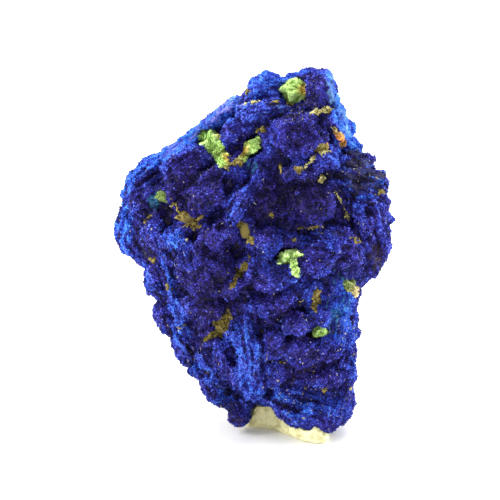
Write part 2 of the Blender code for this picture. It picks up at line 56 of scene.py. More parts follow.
MM = 0.001
SEED = 11
VIEW_FALL = math.radians(14)  # the camera looks down by this much
SIGHT_BASE = 2.4  # "up" of the floor below the middle plane
MIDDLE = (0.19, 0.34)  # the model's middle plane in the frame: x, y
VIEW_CENTRE = (-0.75, 24.25)  # across, up
VIEW_DISTANCE = 450.0
VIEW_WIDTH = 62.5  # millimetres across the picture

# The azurite's surface, in millimetres.
SKIN_VOXEL = 0.225
BOX_SLACK = 0.25  # how far it may pass the model's box
CREVICE_DEEPENING = 0.4
UNEVENNESS = {"amount": 0.5, "size": 1.7, "seed": 44}  # of everything that grows on the model
FINE_ROUNDS, MIDDLE_ROUNDS, BROAD_ROUNDS = 14, 60, 120  # of smoothing, to tell bumps from hollows
USUAL_GLOW = 0.365
GLOW_DRIFT = 0.10
FRONT_START = -3.5  # zones of the front act from here on, and fully from FRONT_FADE further on
FRONT_FADE = 3.0
SEAT_RADIUS = 0.6
COVER_REACH = 4.0  # how much deeper than its middle a zone still acts
CRUST_REACH = 1.8
WIDE_CRUST_REACH = 3.5
WIDE_CRUST = 0.44

# Its crystals: how many, a needle's half width and height, and a blade's half length, half width
# and height, in millimetres.
NEEDLE_SHEETS = 3
NEEDLES_PER_SHEET = 45000
NEEDLE_SIZE = (0.1, 0.24)
BLADES = 14000
BLADE_SIZE = (0.16, 0.08, 0.24)
BARE_BELOW = 0.4  # share of crust under which crystals show
# Painted glints: the first share of crystals is painted brighter and the second near white, in place
# of light caught by their faces.
PAINTED_SPARKLE_SHARE = 0.013  # of the crystals
PAINTED_GLINT_SHARE = 0.001
FLECK_SHARE = 0.004
FLECKED_SHARE = 0.03  # how many more are flecks where flecks are common

# What grows in its pockets and on it.
INCLUSION_VOXEL = 0.1
TUFT_NEEDLES = 1300  # on each tuft
CRUST_NEEDLES = 6000
THICK_CRUST = 0.35  # share of crust over which it bears needles
MALACHITE_NEEDLE = (0.055, 0.26)
CLAY_CRUST_THICKNESS = 0.35
MALACHITE_CRUST_THICKNESS = 0.5

# The light: brightness of the tent's wall, of its opening and of the backdrop that is seen.
TENT_WALL = 1.35
TENT_OPENING = 0.49
BACKDROP = 1.15
LAMPS = [  # name, place, size, watts, colour
    ("left_light", (-260, 40, 130), 220, 1.25, (1, 1, 1)),
    ("right_light", (260, 60, 120), 220, 1.0, (1, 1, 1)),
    ("top_light", (0, 90, 320), 260, 1.6, (1, 1, 1)),
    ("low_light", (-20, -60, 5), 24, 0.011, (1.0, 0.92, 0.72)),
]
LAMPS_AIM = (0, 0, 22)

# Columns of the azurite's looks, one row for each point.
GLOW, AZURE, CRUST, FLECKS = 0, 1, 9, 10
COVER = slice(2, 6)
COVER_SHARE = 5
LEAN = slice(6, 9)


# ---------------------------------------------------------------- places and meshes


def place(across, up, forward=0.0):
    """The point, in millimetres in the frame, at this place as the camera sees it."""
    height = (up - SIGHT_BASE + forward * math.sin(VIEW_FALL)) / math.cos(VIEW_FALL)
    return Vector((across + MIDDLE[0], MIDDLE[1] - forward, height))


def sight():
    """The way the camera looks."""
    return Vector((0, math.cos(VIEW_FALL), -math.sin(VIEW_FALL)))


def to_object(name, points, faces):
    """A mesh object from points in millimetres."""
    mesh = bpy.data.meshes.new(name)
    mesh.from_pydata((np.asarray(points) * MM).tolist(), [], faces)
    mesh.update()
    obj = bpy.data.objects.new(name, mesh)
    bpy.context.scene.collection.objects.link(obj)
    return obj


def applied(obj):
    """Puts obj's modifiers into its mesh."""
    graph = bpy.context.evaluated_depsgraph_get()
    obj.data = bpy.data.meshes.new_from_object(obj.evaluated_get(graph))
    obj.modifiers.clear()


def points_of(obj):
    """The mesh's points, in millimetres."""
    numbers = np.empty(len(obj.data.vertices) * 3, np.float32)
    obj.data.vertices.foreach_get("co", numbers)
    return numbers.reshape(-1, 3) / MM


def set_points(obj, points):
    obj.data.vertices.foreach_set("co", np.asarray(points * MM, np.float32).ravel())
    obj.data.update()


def normals_of(obj):
    numbers = np.empty(len(obj.data.vertices) * 3, np.float32)
    obj.data.vertex_normals.foreach_get("vector", numbers)
    return numbers.reshape(-1, 3)


def set_numbers(obj, name, values):
    values = np.ascontiguousarray(values, np.float32)
    obj.data.attributes.new(name, "FLOAT", "POINT").data.foreach_set("value", values)


def set_colours(obj, name, values):
    values = np.ascontiguousarray(values, np.float32)
    obj.data.attributes.new(name, "FLOAT_COLOR", "POINT").data.foreach_set("color", values.ravel())


def regrown(node, name, voxel, smoothing):
    """A copy of a CAD node, remeshed finely enough to be worked on."""
    obj = bpy.data.objects.new(name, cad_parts[node].data.copy())
    bpy.context.scene.collection.objects.link(obj)
    remesh = obj.modifiers.new("Remesh", "REMESH")
    remesh.mode = "VOXEL"
    remesh.voxel_size = voxel * MM
    smooth = obj.modifiers.new("Smooth", "SMOOTH")
    smooth.factor = 0.5
    smooth.iterations = smoothing
    applied(obj)
    return obj


def clouds(points, size, seed):
    """Soft noise between about -1 and 1."""
    shift = Vector((seed * 2.3, seed * 6.1, seed * 4.7))
    return np.array([noise.noise(Vector(p) / size + shift) for p in points.tolist()])


def stirred(points, amount, size, seed):
    """The points, each moved a little, so that what is laid out by them is uneven."""
    return points + amount * np.column_stack([clouds(points, size, seed + k) for k in range(3)])


def domes(points, size, seed):
    """Rounded heads of about this size, some lower than others, with narrow grooves between them."""
    shift = Vector((seed * 7.3, seed * 3.1, seed * 5.7))
    gaps, ranks = np.empty(len(points)), np.empty(len(points))
    for i, p in enumerate(points.tolist()):
        near, heads = noise.voronoi(Vector(p) / size + shift)
        gaps[i] = near[1] - near[0]
        ranks[i] = noise.cell(heads[0] * 9.7)
    return np.sqrt(1 - (1 - np.clip(gaps / 0.75, 0, 1)) ** 2) * (0.85 + 0.35 * ranks)


def smoothed(obj, values, rounds):
    """values, one row for each vertex, averaged with their neighbours this many times."""
    edges = np.empty(len(obj.data.edges) * 2, np.int32)
    obj.data.edges.foreach_get("vertices", edges)
    a, b = edges.reshape(-1, 2).T
    count = len(values)
    links = np.bincount(a, minlength=count) + np.bincount(b, minlength=count)
    for _ in range(rounds):
        columns = []
        for column in values.T:
            total = np.bincount(a, column[b], count) + np.bincount(b, column[a], count)
            columns.append(total / np.maximum(links, 1))
        values = np.column_stack(columns)
    return values


# ---------------------------------------------------------------- zones of the azurite

# Mostly painted light and shade: how bright the azurite is painted, from 0, near black, to 1, pale
# azure, where it isn't the usual. Bright zones paint the light grazing the rim, slope, crown, flank,
# keel and edges;
# dark ones paint the shade on the dome, the hollow, faces that look straight out and the foot.
# glow, across, up, half length, half width, turn in degrees, strength.
GLOWS = [
    (0.08, 6.2, 30.6, 4.2, 3.0, 0, 1.0),  # dome
    (0.13, 1.3, 30.6, 3.8, 2.2, 90, 1.0),  # hollow beside it
    (0.28, 7.4, 43.4, 2.6, 2.2, 90, 0.9),  # crown's block
    (0.25, 4.4, 38.2, 3.4, 2.6, 0, 0.8),
    (0.22, -7.8, 33.0, 4.8, 4.0, 0, 0.9),
    (0.22, -12.8, 29.6, 3.2, 2.6, 90, 0.9),
    (0.15, -5.6, 21.8, 4.6, 4.4, 0, 0.9),  # largest rosette
    (0.28, 7.4, 9.4, 3.4, 3.6, 0, 0.6),  # lower lobe
    (0.66, -16.6, 28.8, 6.0, 1.2, 92, 1.0),  # left rim
    (0.34, -12.6, 24.0, 4.6, 0.7, -66, 0.9),
    (0.66, -13.4, 35.0, 4.6, 0.9, 36, 1.0),  # slope, lower half
    (0.92, -7.0, 39.8, 5.8, 1.6, 40, 1.0),  # slope, upper half
    (0.72, -3.6, 41.2, 3.6, 1.4, 30, 0.9),
    (0.95, 10.4, 42.6, 4.6, 1.2, -74, 1.0),  # the crown's right side
    (0.90, 11.4, 39.4, 3.4, 1.2, -70, 1.0),
    (0.85, 1.8, 45.6, 3.8, 1.1, 14, 1.0),  # the crown's top
    (0.60, -10.4, 19.6, 5.4, 0.9, -72, 0.8),  # left flank
    (0.54, -8.2, 12.8, 4.8, 0.9, -62, 0.9),
    (0.54, -1.2, 9.4, 5.8, 1.8, -82, 0.9),  # keel
    (0.62, 2.2, 6.2, 3.4, 0.9, -20, 0.8),
    (0.28, -2.0, 29.4, 3.4, 0.7, 60, 0.7),  # slanting rib
    (0.60, 1.4, 36.8, 2.6, 0.6, 66, 0.6),
    (0.66, 10.6, 17.4, 3.8, 1.5, 84, 1.0),
    (0.58, 12.0, 12.0, 6.0, 0.8, 86, 0.8),  # right edge
    (0.35, 14.8, 27.6, 3.4, 1.6, 96, 0.8),
    (0.62, 7.4, 5.4, 4.2, 1.8, -8, 0.9),
    (0.60, -9.6, 25.4, 3.0, 1.2, -50, 0.7),
    (0.56, -1.0, 41.5, 3.5, 2.2, 20, 0.7),
    (0.52, -3.0, 37.5, 3.0, 1.5, 30, 0.5),
    (0.56, 11.2, 33.4, 3.0, 1.6, -25, 0.6),
    (0.60, 2.6, 44.4, 3.0, 1.6, 20, 0.7),
    (0.60, -12.8, 33.2, 2.2, 1.4, 60, 0.7),
    (0.07, -9.2, 29.7, 2.6, 1.9, 0, 0.9),
    (0.10, -5.2, 17.0, 2.4, 2.2, 0, 0.9),
    (0.10, -6.4, 13.8, 1.3, 1.3, 0, 0.9),
    (0.28, 12.4, 22.4, 3.0, 2.4, 0, 0.6),
    (0.60, -1.0, 33.6, 2.0, 1.8, 0, 0.6),
    (0.20, 3.0, 17.5, 2.0, 1.8, 0, 0.7),
    (0.60, -1.0, 13.5, 2.0, 2.0, 0, 0.6),
    (0.20, 7.0, 37.4, 2.4, 2.0, 0, 0.8),
    (0.10, 4.8, 9.2, 1.3, 1.1, 0, 0.8),
    (0.10, -2.3, 3.3, 1.6, 1.3, 90, 0.9),  # foot
]

# Where pale flecks are common: across, up, half length, half width, turn, strength.
FLECKED = [
    (6.6, 8.0, 5.0, 4.6, 0, 1.0),
    (11.0, 13.4, 2.0, 2.0, 0, 1.8),
    (4.6, 41.6, 3.4, 1.2, 0, 1.4),
    (12.6, 33.0, 3.0, 3.0, 0, 0.6),
]

# What lies on the azurite and what is painted on it: colour, across, up, half length, half width,
# turn, strength.
TURQUOISE = (0.06, 0.23, 0.42)
# Painted highlights: pale azure where the crown's sides catch grazing light, pale violet along the
# slope's lit top.
PAINTED_AZURE_HIGHLIGHT = (0.22, 0.44, 0.86)
PAINTED_VIOLET_HIGHLIGHT = (0.33, 0.32, 0.82)
BROWN = (0.045, 0.030, 0.026)
LEDGE_GREY = (0.055, 0.050, 0.095)
DUST = (0.16, 0.12, 0.035)
# Near white, a painted glint on a few crystals.
PAINTED_GLINT = (0.75, 0.80, 0.95)
FLECK = (0.50, 0.45, 0.27)
COVERS_AND_HIGHLIGHTS = [
    (TURQUOISE, 10.4, 17.8, 3.0, 1.4, 80, 0.45),
    (TURQUOISE, -12.8, 30.4, 0.9, 0.6, 90, 0.65),
    (TURQUOISE, -0.5, 34.6, 1.2, 0.5, 90, 0.5),
    (TURQUOISE, 3.2, 41.5, 1.0, 0.4, 10, 0.7),
    # Painted highlights on the crown's sides and the slope's top.
    (PAINTED_AZURE_HIGHLIGHT, 9.9, 43.2, 4.0, 0.9, -74, 0.8),
    (PAINTED_AZURE_HIGHLIGHT, 11.4, 39.4, 2.6, 0.8, -70, 0.6),
    (PAINTED_VIOLET_HIGHLIGHT, -4.8, 41.4, 4.2, 1.5, 38, 0.8),
    (PAINTED_VIOLET_HIGHLIGHT, -10.2, 37.4, 3.0, 0.9, 38, 0.55),
    (PAINTED_AZURE_HIGHLIGHT, -2.7, 43.2, 1.2, 0.6, 50, 0.9),
    (PAINTED_AZURE_HIGHLIGHT, -4.8, 42.0, 1.0, 0.5, 60, 0.7),
    # Painted shade: near-black brown over the foot, low by the floor.
    (BROWN, -2.2, 2.7, 1.3, 0.8, 0, 0.9),
    (BROWN, -5.0, 8.0, 1.6, 1.0, -30, 0.5),
    (LEDGE_GREY, 13.8, 33.8, 3.2, 2.4, -12, 0.85),  # shoulder ledges
    (BROWN, 15.2, 23.2, 2.0, 1.0, 90, 0.7),
    (BROWN, 9.6, 45.2, 1.0, 0.5, 110, 0.7),
]

# Where thin crusts lie on the azurite: across, up, half length, half width, turn, strength.
OCHRE_CRUSTS = [
    (-1.3, 43.7, 0.5, 0.3, 0, 1.0),
    (2.4, 42.3, 0.5, 0.2, 0, 1.0),
    (4.1, 42.4, 0.5, 0.3, -30, 1.0),
    (0.7, 39.0, 0.5, 0.4, 0, 1.0),
    (3.0, 34.3, 0.35, 0.55, 0, 1.0),
    (5.2, 34.0, 0.4, 0.4, 0, 1.0),
    (-2.9, 34.7, 1.2, 0.4, 10, 1.0),
    (-13.6, 27.6, 0.35, 0.2, 40, 1.0),
    (-13.0, 28.2, 0.35, 0.2, 70, 1.0),
    (-12.4, 28.8, 0.25, 0.2, 0, 1.0),
    (1.8, 28.6, 0.3, 0.2, 0, 1.0),
    (6.0, 27.0, 2.0, 0.2, 6, 1.0),
    (12.3, 25.4, 0.7, 0.25, -20, 1.0),
    (4.8, 25.5, 0.25, 0.25, 0, 1.0),
    (-12.8, 23.0, 0.5, 0.25, -50, 1.0),
    (-10.9, 19.7, 0.6, 0.25, -50, 1.0),
    (-9.3, 14.7, 0.4, 0.25, 0, 1.0),
    (8.7, 6.9, 0.4, 0.3, 0, 1.0),
    (3.2, 10.2, 0.3, 0.2, 0, 1.0),
    (4.6, 8.2, 0.3, 0.2, 30, 1.0),
    (6.0, 7.2, 0.3, 0.2, -20, 1.0),
    (15.3, 31.2, 0.5, 0.25, 20, 1.0),
    (-9.2, 28.8, 1.7, 0.28, -56, 1.0),
    (-7.8, 27.2, 1.0, 0.35, -4, 1.0),
    (-7.1, 28.2, 0.7, 0.28, 45, 1.0),
    (-1.3, 26.4, 1.6, 0.4, -57, 1.0),
    (-1.9, 21.6, 2.0, 0.3, 57, 1.0),
    (-4.0, 15.3, 1.5, 0.62, 66, 1.0),
    (-5.2, 13.9, 1.3, 0.46, 35, 1.0),
    (7.3, 18.2, 1.2, 0.45, 84, 1.0),
    ("back", -5.0, 31.0, 2.0, 0.35, 40, 1.0),
    ("back", -3.4, 29.2, 1.3, 0.3, -60, 1.0),
    ("back", 5.0, 20.0, 2.2, 0.35, 80, 1.0),
    ("back", 4.2, 17.4, 1.3, 0.3, 60, 1.0),
    ("back", -9.6, 24.0, 1.6, 0.3, -50, 1.0),
    ("back", 9.0, 30.4, 1.4, 0.3, 30, 1.0),
    ("back", 0.6, 25.2, 0.5, 0.35, 0, 1.0),
]
PALE_CRUSTS = [
    (8.0, 41.1, 1.2, 0.3, 12, 1.0),
    (-0.5, 42.3, 0.9, 0.15, 12, 0.9),
    (8.0, 33.0, 0.35, 0.55, -20, 1.0),
    (10.0, 30.7, 0.7, 0.15, -50, 1.0),
    (10.8, 29.0, 1.1, 0.15, -75, 1.0),
    (11.4, 28.4, 0.5, 0.15, -60, 1.0),
    (5.4, 18.1, 0.25, 0.25, 0, 1.0),
    (11.8, 7.0, 0.7, 0.12, 40, 1.0),
    (6.0, 3.3, 0.5, 0.12, -60, 1.0),
    (10.8, 9.0, 0.5, 0.12, 70, 1.0),
    (6.5, 34.9, 1.1, 0.25, 50, 1.0),
    (8.2, 36.1, 1.0, 0.25, 10, 1.0),
    (10.2, 38.2, 1.2, 0.3, -50, 1.0),
    ("back", 1.6, 38.6, 1.2, 0.25, 10, 1.0),
    ("back", -2.0, 10.0, 0.9, 0.2, -30, 1.0),
]
MALACHITE_CRUSTS = [
    (-4.5, 36.2, 1.7, 0.7, -63, 1.1),  # slope tuft's tail
    (-6.3, 38.2, 0.8, 0.6, -30, 1.0),
    (4.7, 21.9, 0.9, 0.38, -75, 1.0),  # middle tuft's tail and arms
    (4.9, 23.6, 0.8, 0.3, 18, 1.0),
    (3.3, 23.1, 0.7, 0.5, 30, 1.0),
    (-1.1, 36.2, 1.2, 0.45, 58, 1.0),
    (11.5, 19.6, 1.0, 0.35, -40, 1.0),
    (7.9, 13.9, 0.8, 0.3, 20, 1.0),
    ("back", 3.9, 35.0, 1.3, 0.45, -50, 1.0),
    ("back", -3.2, 16.0, 1.1, 0.4, 40, 1.0),
]


# Where the heads give way to ribs: across, up, half length, half width, turn, strength.
RIBS = [
    (-16.6, 29.0, 6.0, 2.4, 84, 0.9),  # left rim
    (-14.2, 22.8, 4.0, 2.0, -60, 0.8),
    (-10.4, 36.6, 9.0, 1.8, 40, 0.9),  # slope
    (-11.8, 17.5, 9.0, 3.0, -62, 0.9),  # left flank
    (-10.6, 24.0, 4.0, 2.0, -68, 0.8),
    (-7.0, 10.0, 7.0, 2.4, -58, 0.9),
    (-1.0, 11.5, 6.0, 2.6, -76, 1.0),  # keel
    (4.6, 4.8, 4.6, 1.8, -16, 0.7),
    (11.8, 35.0, 6.0, 2.4, -38, 1.0),  # shoulder ledges
    (13.2, 32.2, 5.0, 2.4, -14, 1.0),
    (11.2, 41.0, 5.4, 2.4, -70, 1.0),  # the crown's right side
    (4.6, 45.0, 5.0, 1.2, 14, 0.6),
    (-0.6, 41.6, 3.0, 1.6, 12, 0.6),
    (-2.2, 29.6, 4.0, 1.6, 58, 0.9),  # slanting rib
    (6.6, 25.6, 5.0, 1.2, -14, 0.7),
    (11.6, 12.0, 6.5, 1.4, 84, 0.7),  # right edge
    (13.6, 28.0, 4.6, 2.8, -72, 0.8),
    ("back", -8.0, 30.0, 7.0, 3.0, 50, 0.8),
    ("back", 8.0, 28.0, 7.0, 3.0, -66, 0.8),
    ("back", -6.0, 14.0, 7.0, 2.6, -56, 0.8),
    ("back", 4.0, 12.0, 6.0, 2.4, 80, 0.7),
    ("back", 5.0, 41.0, 4.0, 2.0, 20, 0.7),
]

# Where the azurite is fuller: millimetres, across, up, half length, half width, turn, strength.
SWELLINGS = [
    (0.8, -5.8, 39.6, 3.4, 0.8, 40, 0.8),  # behind the slope's rim
    (0.3, -12.4, 34.0, 1.8, 0.8, 36, 0.8),
    (0.8, -13.2, 20.0, 1.7, 0.9, -75, 1.0),  # left edge
    (0.7, -9.8, 10.2, 1.8, 0.9, -60, 1.0),
    (0.7, -5.4, 5.6, 1.6, 0.9, -50, 1.0),
    (0.8, -2.4, 3.0, 1.2, 0.9, -20, 1.0),
    (0.5, 10.6, 3.2, 1.8, 1.2, 30, 1.0),  # right edge
    (0.7, 12.4, 13.0, 1.4, 0.8, 90, 1.0),
    (0.5, 16.0, 33.0, 1.6, 1.0, 90, 1.0),
    (0.5, 16.2, 25.4, 1.2, 0.8, 90, 1.0),
    (0.5, 14.6, 35.8, 1.2, 0.8, -35, 1.0),
    (-1.1, 10.7, 44.0, 1.2, 0.8, -70, 1.0),
    (0.7, 6.4, 2.9, 3.2, 0.7, -14, 1.0),  # over the putty
    (0.5, -8.2, 28.1, 2.2, 1.4, 0, 1.0),  # these close over the clay
    (0.6, -1.2, 26.3, 1.8, 1.1, -57, 1.0),
    (0.7, -2.0, 21.4, 2.4, 1.1, 57, 1.0),
    (0.6, 7.3, 18.2, 1.6, 1.1, 84, 1.0),
    (0.7, -4.7, 14.5, 2.0, 1.9, 0, 1.0),
    (0.6, -6.2, 14.0, 0.9, 1.2, 0, 1.0),
    (0.6, 7.4, 36.4, 2.0, 1.1, 22, 1.0),
    (0.5, 10.3, 37.5, 1.2, 1.0, 0, 1.0),
]

# Where the druse is even: across, up, half width, half height, turn, strength.
CALM = [
    (6.6, 30.0, 3.6, 2.6, 0, 0.75),  # dome
    (1.2, 31.0, 2.0, 3.0, 0, 0.6),
    (7.6, 44.0, 2.0, 2.2, 0, 0.7),
    (-13.0, 30.0, 1.6, 2.4, 0, 0.4),
    (-8.4, 33.6, 2.6, 2.6, 0, 0.4),
]


# ---------------------------------------------------------------- how zones act on points


def seen_places(points):
    """Each point's across and up, and how far in front of the middle plane it is."""
    across = points[:, 0] - MIDDLE[0]
    forward = MIDDLE[1] - points[:, 1]
    up = points[:, 2] * math.cos(VIEW_FALL) - forward * math.sin(VIEW_FALL) + SIGHT_BASE
    return across, up, forward


def facing(points, zone):
    """The points as seen from the zone's side: one that starts with "back" is on the back."""
    if zone[0] == "back":
        return points * (1, -1, 1) + (0, 2 * MIDDLE[1], 0)
    return points


def zone_weight(points, zone):
    """How much each point belongs to a zone: the zone's last six values say where it is."""
    across, up, forward = seen_places(facing(points, zone))
    middle_across, middle_up, half_length, half_width, turn, strength = zone[-6:]
    angle = math.radians(turn)
    dx, dy = across - middle_across, up - middle_up
    along = (dx * math.cos(angle) + dy * math.sin(angle)) / half_length
    aside = (dy * math.cos(angle) - dx * math.sin(angle)) / half_width
    front = np.clip((forward - FRONT_START) / FRONT_FADE, 0, 1)
    return strength * np.clip(1.5 - np.sqrt(along**2 + aside**2), 0, 1) * front


def seated_weight(points, zone, reach):
    """zone_weight, but only this near to the surface that is seen in the middle of the zone."""
    across, up, forward = seen_places(facing(points, zone))
    near = np.hypot(across - zone[-6], up - zone[-5]) < SEAT_RADIUS
    seat = forward[near].max() if near.any() else 0.0
    return zone_weight(points, zone) * np.clip(2 - (seat - forward) / reach, 0, 1)


def drawn_out(points, turn):
    """Places in which soft noise runs in streaks along this direction, as seen from the front."""
    across, up, forward = seen_places(points)
    angle = math.radians(turn)
    along = across * math.cos(angle) + up * math.sin(angle)
    aside = up * math.cos(angle) - across * math.sin(angle)
    inward = forward * (0.1 + 0.5 * math.sin(angle) ** 2)  # level streaks are layers
    return np.column_stack((along * 0.12, aside, inward))


def rib_crests(points, turn, size, seed):
    """Narrow wavy crests that run in this direction: 1 on top of each."""
    return 1 - 4.5 * np.abs(clouds(drawn_out(points, turn), size, seed))


def swelling(points):
    """How much fuller than the fused rosettes the azurite is here, in millimetres."""
    return sum(zone[0] * zone_weight(points, zone) for zone in SWELLINGS)


def relief(points):
    """How far the druse stands out of the fused rosettes, in millimetres, as heads and ribs."""
    bent = stirred(points, 0.9, 2.2, 4)
    height = 0.26 * domes(bent, 3.0, 7) + 0.14 * domes(bent, 1.3, 8) + 0.17 * domes(bent, 0.62, 11)
    for zone in CALM:
        height *= 1 - 0.9 * zone_weight(points, zone)
    for zone in RIBS:
        weight = zone_weight(points, zone)
        near = weight > 0.02
        ribs = 0.26 + 0.26 * rib_crests(bent[near], zone[-2], 1.3, 9)
        ribs += 0.18 * rib_crests(points[near], zone[-2], 0.6, 17)
        height[near] = height[near] * (1 - weight[near]) + ribs * weight[near]
    return height + 0.10 * clouds(points, 0.5, 10) - 0.45


def crust_share(points, zones):
    """How much of a crust lies on each point, from 0 to 1."""
    moved = stirred(points, 0.45, 0.6, 31)
    share = np.zeros(len(points))
    for zone in zones:
        half_width = zone[-3]
        reach = WIDE_CRUST_REACH if half_width > WIDE_CRUST else CRUST_REACH
        share = np.maximum(share, seated_weight(moved, zone, reach))
    return np.clip(share * 1.6, 0, 1)


def azure_lean(glow):
    """Painted light: how much a zone painted this bright leans to azure, as lit sides do; those
    painted dark stay violet.
    """
    return min(max(5 * glow - 2.25, 0), 1)


def azurite_glow(points, depth, hollow):
    """How bright the azurite is painted at each point, and how much it leans from violet to azure: a
    random drift, and painted light and shade from GLOWS, the ribs and the relief.
    """
    drift = clouds(points, 4.5, 1) + 0.7 * clouds(points, 1.8, 2)
    glow = USUAL_GLOW + GLOW_DRIFT * drift
    azure = np.clip(0.35 + 0.8 * clouds(points, 3.2, 3), 0, 1)
    moved = stirred(points, 1.1, 1.6, 15)
    # Painted light and shade, zone by zone.
    for zone in GLOWS:
        weight = zone_weight(moved, zone)
        glow = glow * (1 - weight) + (zone[0] + GLOW_DRIFT * drift) * weight
        azure = azure * (1 - weight) + azure_lean(zone[0]) * weight
    # Painted light and shade: rib crests lighter and more azure, the troughs between them darker.
    for zone in RIBS:
        weight = zone_weight(points, zone)
        near = weight > 0.02
        crests = weight[near] * rib_crests(points[near], zone[-2], 0.6, 17)
        glow[near] += 0.3 * crests
        azure[near] += 0.4 * crests
    # Painted shade and light: darker in crevices and broad hollows, lighter on the heads that stand
    # out.
    glow = glow + np.clip(1.1 * depth, -0.16, 0.12) + np.clip(0.05 * hollow, -0.08, 0.05)
    return np.column_stack((glow, azure))


def azurite_cover_and_highlight(points, depth):
    """The colour of what lies on the azurite, stains and dust, or is painted on it as highlights, at
    each point, and in the fourth column how much.
    """
    cover_and_highlight = np.zeros((len(points), 4))
    moved = stirred(points, 0.7, 0.8, 18)
    for zone in COVERS_AND_HIGHLIGHTS:
        weight = seated_weight(moved, zone, COVER_REACH)
        near = weight > 0
        streaks = 2.0 * clouds(drawn_out(points[near], zone[-2]), 0.35, 12)
        streaks -= 0.8 * np.clip(depth[near] / 0.4, -0.6, 0.6)
        weight[near] = np.clip(2.2 * weight[near] + streaks - 0.8, 0, 0.9)
        cover_and_highlight[:, :3] = cover_and_highlight[:, :3] * (1 - weight[:, None]) + np.array(zone[0]) * weight[:, None]
        cover_and_highlight[:, 3] = np.maximum(cover_and_highlight[:, 3], weight)
    dust = clouds(points, 2.4, 13) + 1.1 * clouds(points, 0.3, 14) - 2.0 * depth - 1.4
    dust = np.clip(3 * dust * (1 - cover_and_highlight[:, 3]), 0, 1)
    cover_and_highlight[:, :3] += np.array(DUST) * dust[:, None]
    cover_and_highlight[:, 3] += dust
    cover_and_highlight[:, :3] /= np.maximum(cover_and_highlight[:, 3:], 1e-6)
    return np.clip(cover_and_highlight, 0, 1)


def lean_of(points):
    """Which way the crystals lean along the ribs, as vectors up to 1 long, at each point."""
    lean = np.zeros((len(points), 3))
    for zone in RIBS:
        angle = math.radians(zone[-2])
        along = np.array((math.cos(angle), 0, math.sin(angle)))
        weight = zone_weight(points, zone)[:, None]
        lean = lean * (1 - weight) + along * weight
    return lean


# ---------------------------------------------------------------- materials


def node_material(name):
    """A new material, its node tree and its shader."""
    material = bpy.data.materials.new(name)
    material.use_nodes = True
    tree = material.node_tree
    shader = tree.nodes["Principled BSDF"]
    return material, tree, shader


def add_node(tree, kind, **values):
    """A new node; values are for its inputs or, where it has none of that name, its settings."""
    node = tree.nodes.new(kind)
    for key, value in values.items():
        if key in node.inputs:
            node.inputs[key].default_value = value
        else:
            setattr(node, key, value)
    return node


def noise_node(tree, coordinates, scale, detail=4.0, roughness=0.6):
    node = add_node(tree, "ShaderNodeTexNoise", Scale=scale, Detail=detail, Roughness=roughness)
    tree.links.new(coordinates, node.inputs["Vector"])
    return node.outputs["Fac"]


def ramp(tree, factor, low, high, to_low=0.0, to_high=1.0):
    node = add_node(tree, "ShaderNodeMapRange")
    node.inputs["From Min"].default_value = low
    node.inputs["From Max"].default_value = high
    node.inputs["To Min"].default_value = to_low
    node.inputs["To Max"].default_value = to_high
    tree.links.new(factor, node.inputs["Value"])
    return node.outputs["Result"]


def maths(tree, operation, first, second):
    node = tree.nodes.new("ShaderNodeMath")
    node.operation = operation
    for socket, value in zip(node.inputs, (first, second)):
        if isinstance(value, float):
            socket.default_value = value
        else:
            tree.links.new(value, socket)
    return node.outputs[0]


def added(tree, first, second):
    return maths(tree, "ADD", first, second)


def scaled(tree, value, by):
    return maths(tree, "MULTIPLY", value, by)


def fill_ramp(color_ramp, stops):
    """Puts (position, colour) stops into a colour ramp."""
    while len(color_ramp.elements) < len(stops):
        color_ramp.elements.new(0.5)
    for element, (position, colour) in zip(color_ramp.elements, stops):
        element.position = position
        element.color = (*colour, 1)


def mixed(tree, factor, first, second, blend="MIX"):
    """Mixes two colours, each a socket or an RGB."""
    node = tree.nodes.new("ShaderNodeMix")
    node.data_type = "RGBA"
    node.blend_type = blend
    inputs = [node.inputs[0], node.inputs[6], node.inputs[7]]
    for socket, value in zip(inputs, (factor, first, second)):
        if isinstance(value, bpy.types.NodeSocket):
            tree.links.new(value, socket)
        elif isinstance(value, float):
            socket.default_value = value
        else:
            socket.default_value = (*value, 1)
    return node.outputs[2]


# Azurite from its darkest to its palest, where it leans to violet and where it leans to azure.
SHADES = (0.0, 0.25, 0.50, 0.75, 0.90, 1.0)
VIOLET_BLUES = (
    (0.004, 0.003, 0.018),
    (0.014, 0.009, 0.068),
    (0.029, 0.020, 0.175),
    (0.044, 0.036, 0.390),
    (0.070, 0.072, 0.610),
    (0.160, 0.200, 0.820),
)
AZURE_BLUES = (
    (0.003, 0.004, 0.024),
    (0.009, 0.011, 0.095),
    (0.015, 0.024, 0.240),
    (0.021, 0.052, 0.450),
    (0.022, 0.096, 0.640),
    (0.070, 0.250, 0.840),
)


def shades_node(tree, value, colours):
    """The colour in this row of SHADES."""
    node = tree.nodes.new("ShaderNodeValToRGB")
    fill_ramp(node.color_ramp, list(zip(SHADES, colours)))
    tree.links.new(value, node.inputs["Fac"])
    return node.outputs["Color"]


